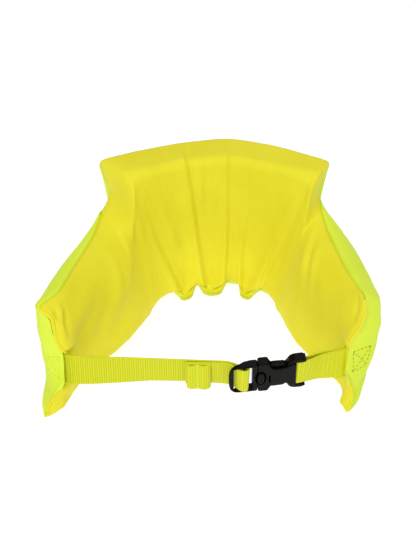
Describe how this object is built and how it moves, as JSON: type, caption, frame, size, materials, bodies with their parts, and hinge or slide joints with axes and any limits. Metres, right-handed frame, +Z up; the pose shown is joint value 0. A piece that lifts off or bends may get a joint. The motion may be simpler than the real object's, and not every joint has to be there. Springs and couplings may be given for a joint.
{
  "type": "neoprene swim belt",
  "caption": "Horseshoe-shaped padded swim float belt with a tall back block, gathered inner hem and side wings, closed in front by a webbing strap with a side-release buckle.",
  "frame": {"origin": "on the floor under the middle of the belt's outer box", "axes": "+X toward the flap that carries the buckle's socket, +Y toward the tall back block, +Z up; the strap lies on the -Y side"},
  "size_m": [0.2463, 0.208, 0.122],
  "materials": {
    "lime_neoprene": "lime nylon-faced neoprene, matt with a fine knit",
    "yellow_neoprene": "yellow nylon-faced neoprene, matt with a fine knit",
    "webbing": "yellow-green woven polyester webbing",
    "buckle_plastic": "black moulded acetal, satin"
  },
  "bodies": {
    "root": {"float_body": "lime_neoprene", "inner_lining": "yellow_neoprene", "strap_long": "webbing", "strap_short": "webbing", "buckle_plug": "buckle_plastic", "buckle_socket": "buckle_plastic", "lock_button": "buckle_plastic"}
  },
  "joints": []
}
